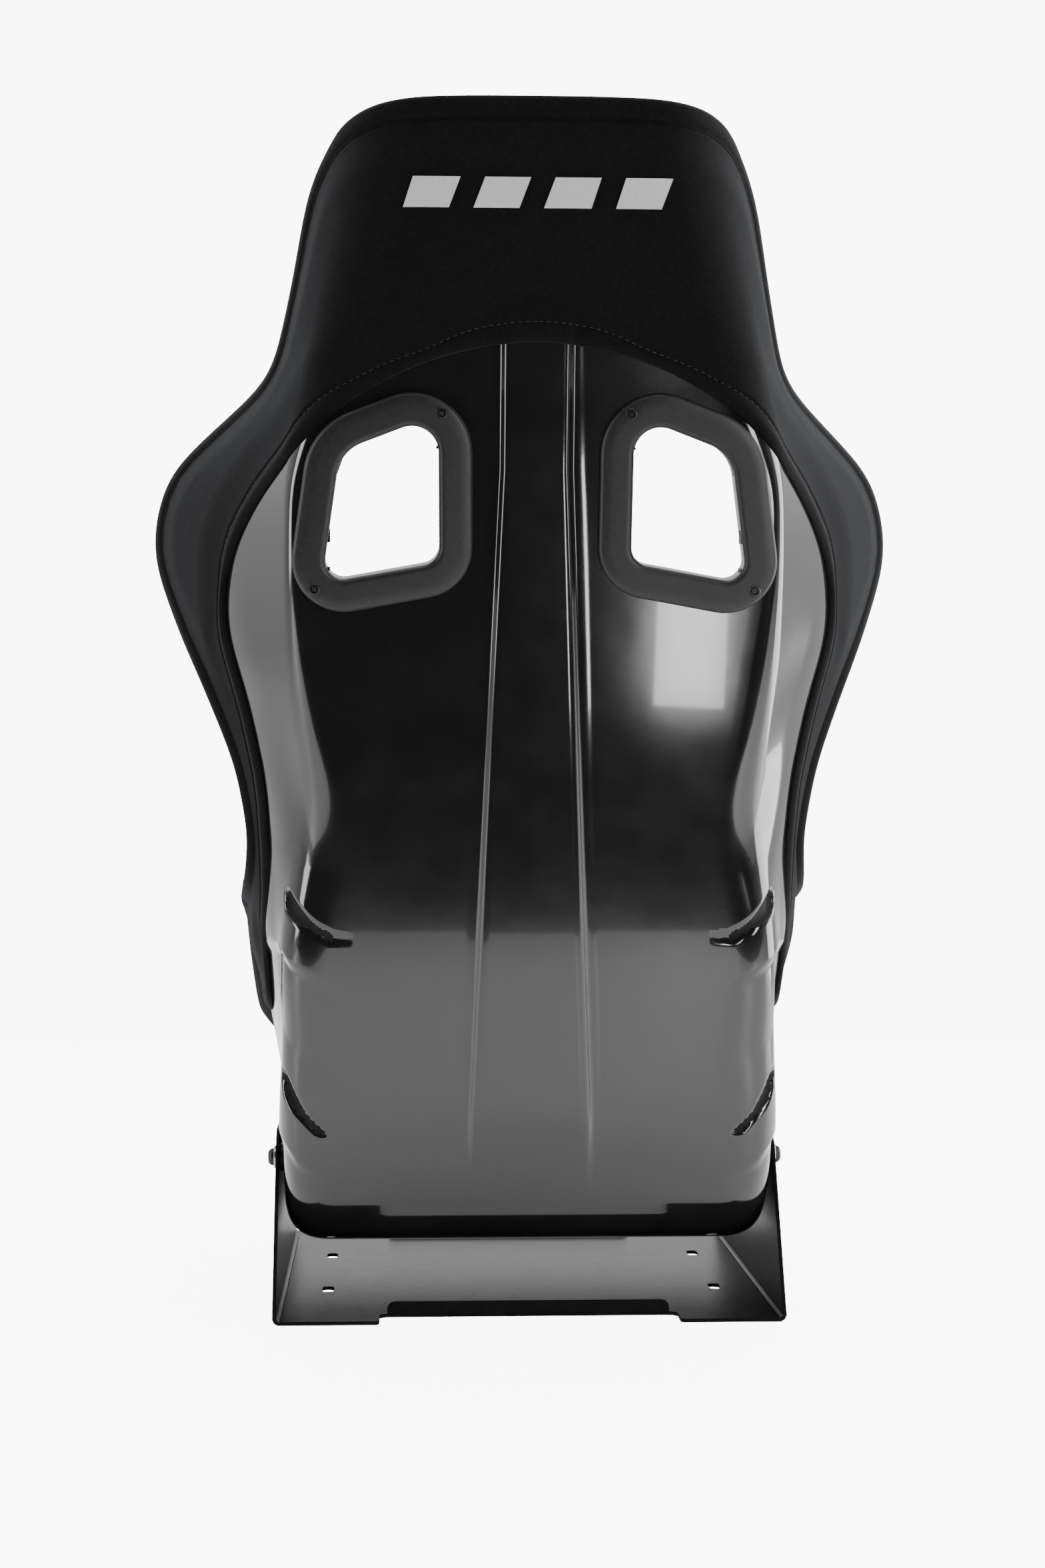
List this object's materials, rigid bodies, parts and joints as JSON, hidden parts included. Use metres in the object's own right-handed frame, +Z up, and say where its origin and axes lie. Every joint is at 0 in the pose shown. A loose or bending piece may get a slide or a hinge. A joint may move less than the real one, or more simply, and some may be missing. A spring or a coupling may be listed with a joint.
{
  "type": "fixed-back racing seat",
  "caption": "Fixed-back bucket racing seat with a gloss black shell, velour cover, harness openings, cushions and a folded steel base bracket.",
  "frame": {"origin": "middle of the base plate's underside", "axes": "+Z up, +Y the way the occupant faces, +X the occupant's right"},
  "size_m": [0.5924, 0.647, 0.9251],
  "materials": {
    "shell": "gloss",
    "velour": "matte",
    "pads": "matte",
    "moulding": "matte",
    "bracket": "satin",
    "black_steel": "black oxide",
    "zinc_steel": "zinc plated"
  },
  "bodies": {
    "root": {"seat_shell": "shell", "rear_cover": "velour", "front_cover": "velour", "head_cushion": "pads", "back_cushion": "pads", "seat_cushion": "pads", "base_bracket": "bracket", "shoulder_bolster_left": "pads", "thigh_bolster_left": "pads", "harness_surround_rear_left": "moulding", "harness_surround_front_left": "moulding", "surround_screw_upper_left": "black_steel", "surround_screw_lower_left": "black_steel", "side_bolt_rear_left": "black_steel", "washer_rear_left": "zinc_steel", "threaded_bush_rear_left": "zinc_steel", "side_spacer_rear_left": "moulding", "side_bolt_front_left": "black_steel", "washer_front_left": "zinc_steel", "threaded_bush_front_left": "zinc_steel", "side_spacer_front_left": "moulding", "shoulder_bolster_right": "pads", "thigh_bolster_right": "pads", "harness_surround_rear_right": "moulding", "harness_surround_front_right": "moulding", "surround_screw_upper_right": "black_steel", "surround_screw_lower_right": "black_steel", "side_bolt_rear_right": "black_steel", "washer_rear_right": "zinc_steel", "threaded_bush_rear_right": "zinc_steel", "side_spacer_rear_right": "moulding", "side_bolt_front_right": "black_steel", "washer_front_right": "zinc_steel", "threaded_bush_front_right": "zinc_steel", "side_spacer_front_right": "moulding"}
  },
  "joints": []
}
